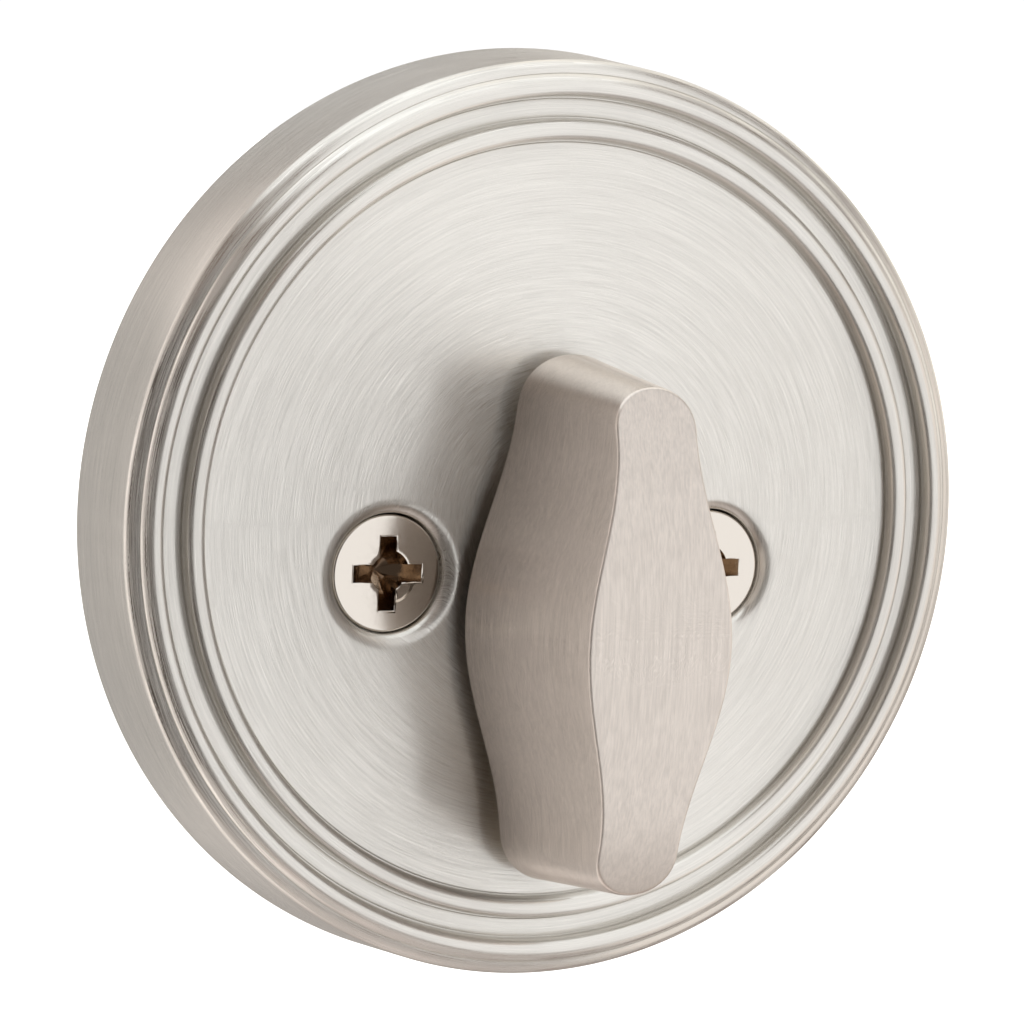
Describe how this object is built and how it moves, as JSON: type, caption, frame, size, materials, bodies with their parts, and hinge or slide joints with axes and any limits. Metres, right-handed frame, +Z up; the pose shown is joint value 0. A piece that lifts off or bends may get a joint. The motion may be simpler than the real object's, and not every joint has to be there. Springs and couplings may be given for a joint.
{
  "type": "deadbolt thumbturn trim",
  "caption": "Interior trim of a deadbolt: round stepped rose with a wavy thumbturn, two flat-head screws, a D-section tail blade and an anchor plate.",
  "frame": {"origin": "centre of the rose, on the door's surface that the trim is screwed to", "axes": "+Y into the door, -Y towards the room, +X to the right and +Z up as seen from the room"},
  "size_m": [0.066, 0.0625, 0.066],
  "materials": {
    "rose_nickel": "satin nickel, brushed in circles",
    "thumbturn_nickel": "satin nickel on cast zinc, brushed lengthwise",
    "screw_nickel": "bright nickel plate",
    "nylon": "black nylon",
    "cast_zinc": "bare cast zinc",
    "bronze": "sintered bronze",
    "zinc_plated_steel": "zinc-plated steel",
    "spring_steel": "oiled spring steel"
  },
  "bodies": {
    "trim": {"rose": "rose_nickel", "screw_left": "screw_nickel", "screw_right": "screw_nickel", "face_washer": "nylon", "support_plate": "cast_zinc", "turn_bushing": "bronze", "thrust_washer": "zinc_plated_steel", "wave_washer": "spring_steel", "detent_spring": "spring_steel", "spring_post_left": "zinc_plated_steel", "spring_post_right": "zinc_plated_steel", "screw_retainer_left": "nylon", "screw_retainer_right": "nylon", "anchor_plate": "zinc_plated_steel", "anchor_nut_left": "zinc_plated_steel", "anchor_nut_right": "zinc_plated_steel"},
    "turn": {"thumbturn": "thumbturn_nickel", "turn_cam": "zinc_plated_steel", "retaining_ring": "spring_steel", "torque_blade": "zinc_plated_steel", "blade_pin": "spring_steel"}
  },
  "joints": [
    {"name": "thumbturn_turn", "type": "hinge", "parent": "trim", "child": "turn", "pos_m": [0, 0, -0.0067], "axis": [0, 1, 0], "range_deg": [-90, 90], "deforming": ["detent_spring"]}
  ]
}
